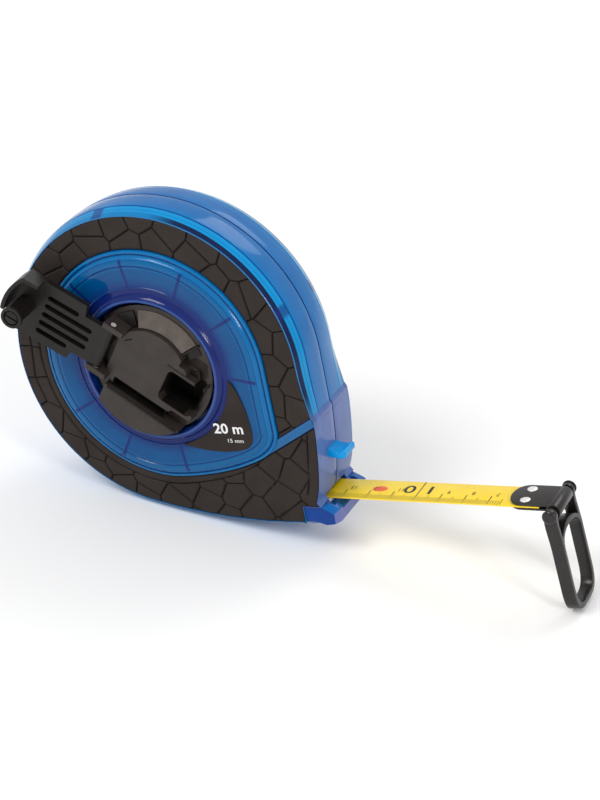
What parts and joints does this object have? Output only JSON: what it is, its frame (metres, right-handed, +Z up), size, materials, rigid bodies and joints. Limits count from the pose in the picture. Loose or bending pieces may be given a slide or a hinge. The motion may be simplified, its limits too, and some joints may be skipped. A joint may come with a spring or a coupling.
{
  "type": "long tape measure",
  "caption": "Closed-case long tape measure: clear blue case, folding winding crank on the reel, steel blade out of the mouth with a hinged finger ring.",
  "frame": {"origin": "on the surface the case stands on, under the middle of the whole object's box", "axes": "+X the way the tape is pulled out, seen level; +Y from the crank side to the back; +Z up"},
  "size_m": [0.2416, 0.0606, 0.129],
  "materials": {
    "clear_blue": "clear tinted",
    "soft_black": "matt moulded",
    "black_plastic": "satin",
    "reel_plastic": "satin",
    "tape_yellow": "satin with black graduations",
    "bright_steel": "bright",
    "black_steel": "black semi-gloss"
  },
  "bodies": {
    "case": {"front_shell": "clear_blue", "rear_shell": "clear_blue", "mouth_guide": "clear_blue", "front_overlay": "soft_black", "rear_overlay": "soft_black", "length_badge": "soft_black", "rear_cap": "black_plastic", "spindle": "bright_steel", "spindle_washer": "bright_steel", "spindle_screw": "bright_steel", "spindle_bolt": "bright_steel", "case_screw_1": "bright_steel", "case_screw_2": "bright_steel", "case_screw_3": "bright_steel", "case_screw_4": "bright_steel", "case_screw_5": "bright_steel"},
    "reel": {"drum": "reel_plastic", "front_flange": "reel_plastic", "rear_flange": "reel_plastic", "tape_coil": "tape_yellow", "crank_seat": "black_plastic", "crank_hinge_pin": "bright_steel"},
    "crank": {"crank_arm": "black_plastic", "knob_screw": "bright_steel"},
    "knob": {"knob": "black_plastic"},
    "roller": {"guide_roller": "bright_steel"},
    "tape": {"tape_blade": "tape_yellow", "end_clip": "black_steel", "clip_rivet_1": "bright_steel", "clip_rivet_2": "bright_steel", "ring_pin": "black_steel"},
    "ring": {"pull_ring": "black_steel"}
  },
  "joints": [
    {"name": "reel_spin", "type": "hinge", "parent": "case", "child": "reel", "pos_m": [-0.05615, 0.01038, 0.0642], "axis": [0, 1, 0], "continuous": true},
    {"name": "crank_fold", "type": "hinge", "parent": "reel", "child": "crank", "pos_m": [-0.07371, -0.01302, 0.07144], "axis": [0.3811, 0, 0.9245], "range_deg": [0, 175]},
    {"name": "knob_spin", "type": "hinge", "parent": "crank", "child": "knob", "pos_m": [-0.10484, -0.024, 0.08427], "axis": [0.0806, -0.9962, -0.0332], "continuous": true},
    {"name": "tape_slide", "type": "slide", "parent": "case", "child": "tape", "axis": [0.972, 0, 0.2351], "range_m": [-0.0645, 0.012]},
    {"name": "ring_swing", "type": "hinge", "parent": "tape", "child": "ring", "pos_m": [0.10514, 0.01038, 0.04097], "axis": [0, -1, 0], "range_deg": [-55, 195]},
    {"name": "roller_spin", "type": "hinge", "parent": "case", "child": "roller", "pos_m": [0.01519, 0.01038, 0.01854], "axis": [0, 1, 0], "continuous": true}
  ]
}
